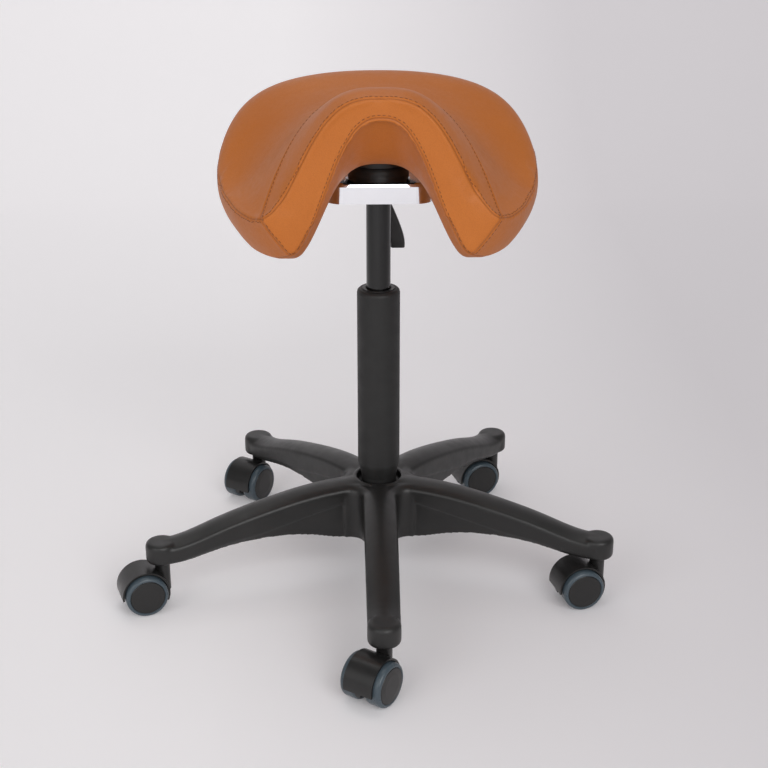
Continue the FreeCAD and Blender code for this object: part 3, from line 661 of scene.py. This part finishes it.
def build_seat():
    points, faces = seat_form(FORM_INSET_MM)
    seat = new_object("saddle_cushion", points, faces, LEATHER)
    voxel_remesh(seat, COARSE_VOXEL, 3)
    puff(seat, PUFF_PRESSURE, PUFF_CAP)
    voxel_remesh(seat, FINE_VOXEL, 4)
    seat.data.materials.clear()
    seat.data.materials.append(LEATHER)
    tree = surface_of(seat)
    top = [front_arch(), side_seam(1), side_seam(-1), back_seam()]
    front = [inner_arch(), corner_seam(1), corner_seam(-1), panel_seam()]
    low = [side_seam(1, True), side_seam(-1, True), back_seam(True)]
    lines = [resample(path, SEAM_STEP, tree) for path in top + front + low]
    refine(seat, lines, SEAM_REACH, SEAM_EDGE)
    sew(seat, lines, SEAM_DEPTH, SEAM_WIDTH, SEAM_SWELL)
    rows = [(path, STITCH_OFFSET) for path in top + front]
    tree = surface_of(seat)
    stitches = stitch_rows("seat_stitches", rows, tree, STITCH_PITCH, STITCH_LENGTH, THREAD_R)
    open_bottom(seat)
    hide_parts("seat_cover", "seat_foam")
    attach(seat, "seat")
    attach(stitches, "seat")


# The round opening in the underside, in metres
OPENING_R = 0.0555
OPENING_LOW, OPENING_HIGH = 0.50, 0.540


def open_bottom(seat):
    """Cuts the round opening in the underside that the mounting plate sits in."""
    low, high = OPENING_LOW, OPENING_HIGH
    cutter = bpy.data.meshes.new("cutter")
    work = bmesh.new()
    bmesh.ops.create_cone(
        work, cap_ends=True, segments=72, radius1=OPENING_R, radius2=OPENING_R, depth=high - low
    )
    bmesh.ops.translate(work, verts=work.verts, vec=(0, 0, (low + high) / 2))
    work.to_mesh(cutter)
    work.free()
    tool = bpy.data.objects.new("cutter", cutter)
    bpy.context.scene.collection.objects.link(tool)
    cut = seat.modifiers.new("opening", "BOOLEAN")
    cut.operation = "DIFFERENCE"
    cut.solver = "FAST"
    cut.object = tool
    apply_modifiers(seat)
    bpy.data.objects.remove(tool)


build_seat()


# The base and the castors
def build_star():
    star = copy_of("star_base", "star_base_moulding", MOULDED)
    voxel_remesh(star, 0.0016, 6)
    star.data.materials.clear()
    star.data.materials.append(MOULDED)
    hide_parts("star_base")
    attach(star, "base")


build_star()

for k in range(1, ARMS + 1):
    paint(f"castor_hood_{k}", CASTOR_BLACK, 0.0007)
    paint(f"castor_pins_{k}", CASTOR_BLACK, 0.0004)
    for side in ("left", "right"):
        paint(f"{side}_wheel_{k}", CASTOR_BLACK, 0.0006)
        paint(f"{side}_tread_{k}", TREAD, 0.0006)

# Nodes, their material and the width of their rounded edges in metres
PAINTS = (
    (("column_tube",), COLUMN_BLACK, 0.0),
    (("guide_bush", "lever_grip", "rod_gland"), MOULDED, 0.0008),
    (("pressure_tube",), TUBE_BLACK, 0.0),
    (("mount_tray",), CHROME, 0.0),
    (("mount_floor_plate",), CHROME, 0.0004),
    (("taper_socket",), COLUMN_BLACK, 0.0),
    (("rocker_cup", "rubber_buffer"), RUBBER, 0.0008),
    (("rocker_plate", "lever_bar"), COLUMN_BLACK, 0.0005),
    (("seat_shell",), PLY, 0.0),
    (("seat_foam",), FOAM, 0.0),
    (("seat_bolts", "tee_nuts", "rocker_cross", "rocker_yoke"), STEEL, 0.0002),
    (("lever_bracket", "lever_pin"), STEEL, 0.0002),
    (("release_button", "piston_rod", "piston", "column_end_cap", "bearing_lower_race"), STEEL, 0.0002),
    (("bearing_upper_race", "bearing_balls", "retaining_clip"), STEEL, 0.0),
)
for names, material, bevel in PAINTS:
    for name in names:
        paint(name, material, bevel)


# The studio
def area_light(name, place, target, size, power):
    data = bpy.data.lights.new(name, "AREA")
    data.shape = "SQUARE"
    data.size = size
    data.energy = power
    lamp = bpy.data.objects.new(name, data)
    bpy.context.scene.collection.objects.link(lamp)
    lamp.location = place
    away = Vector(place) - Vector(target)
    lamp.rotation_euler = away.to_track_quat("Z", "Y").to_euler()


# The floor and backdrop, in metres
FLOOR_HALF_X = 5.0
FLOOR_FRONT_Y = -4.0
FLOOR_BACK_Y = 1.6
SWEEP_R = 1.2
SWEEP_STEPS = 12
BACKDROP_TOP_Z = 4.5
# Each lamp's name, place, aim, size and power
LAMPS = (
    ("key", (0.9, -2.6, 1.8), (0, 0, 0.4), 2.2, 50.0),
    ("fill", (-1.7, -2.1, 1.3), (0, 0, 0.35), 2.0, 20.0),
    ("top", (-0.2, 0.6, 2.9), (0, 0, 0.3), 2.0, 14.0),
)


def backdrop():
    """Painted shade: paler on the left and darker towards the right, with a faint painted glow towards
    the back that lights nothing.
    """
    m = Nodes("backdrop")
    split = m.add("ShaderNodeSeparateXYZ")
    m.link(m.where, split.inputs[0])
    x, y = split.outputs["X"], split.outputs["Y"]
    # painted shade: the backdrop's colour darkens from left to right as if the light fell off
    tone_with_painted_shade = m.mix(m.remap(x, -0.2, 0.55, 0.0, 1.0), (0.88, 0.86, 0.875), (0.68, 0.655, 0.675))
    rays = m.add("ShaderNodeLightPath").outputs
    seen = m.math("MAXIMUM", rays["Is Camera Ray"], rays["Is Glossy Ray"])
    seen = m.math("MAXIMUM", seen, rays["Is Transmission Ray"])
    m.link(tone_with_painted_shade, m.shader.inputs["Base Color"])
    m.link(tone_with_painted_shade, m.shader.inputs["Emission Color"])
    # painted light: a glow that rises towards the back, seen only by camera, glossy and transmission
    # rays
    glow = m.remap(y, -0.5, 1.7, 0.08, 0.36)
    m.link(m.math("MULTIPLY", glow, seen), m.shader.inputs["Emission Strength"])
    m.set(Roughness=0.85)
    return m.material


def build_studio():
    """A pale floor that curves up into a backdrop, a dim world and three lamps."""
    profile = [(FLOOR_FRONT_Y, 0.0), (FLOOR_BACK_Y, 0.0)]
    for i in range(1, SWEEP_STEPS + 1):
        a = math.pi / 2 * i / SWEEP_STEPS
        profile.append((FLOOR_BACK_Y + SWEEP_R * math.sin(a), SWEEP_R * (1 - math.cos(a))))
    profile.append((FLOOR_BACK_Y + SWEEP_R, BACKDROP_TOP_Z))
    points, faces = [], []
    for y, z in profile:
        points.append((-FLOOR_HALF_X, y, z))
        points.append((FLOOR_HALF_X, y, z))
    for i in range(len(profile) - 1):
        faces.append((2 * i, 2 * i + 1, 2 * i + 3, 2 * i + 2))
    floor = new_object("studio_floor", points, faces, backdrop())
    world = bpy.data.worlds.new("studio_world")
    bpy.context.scene.world = world
    world.use_nodes = True
    background = world.node_tree.nodes["Background"]
    background.inputs["Color"].default_value = (1.0, 0.985, 0.99, 1.0)
    background.inputs["Strength"].default_value = 0.25
    for lamp in LAMPS:
        area_light(*lamp)


build_studio()
bpy.context.scene.view_settings.view_transform = "Standard"
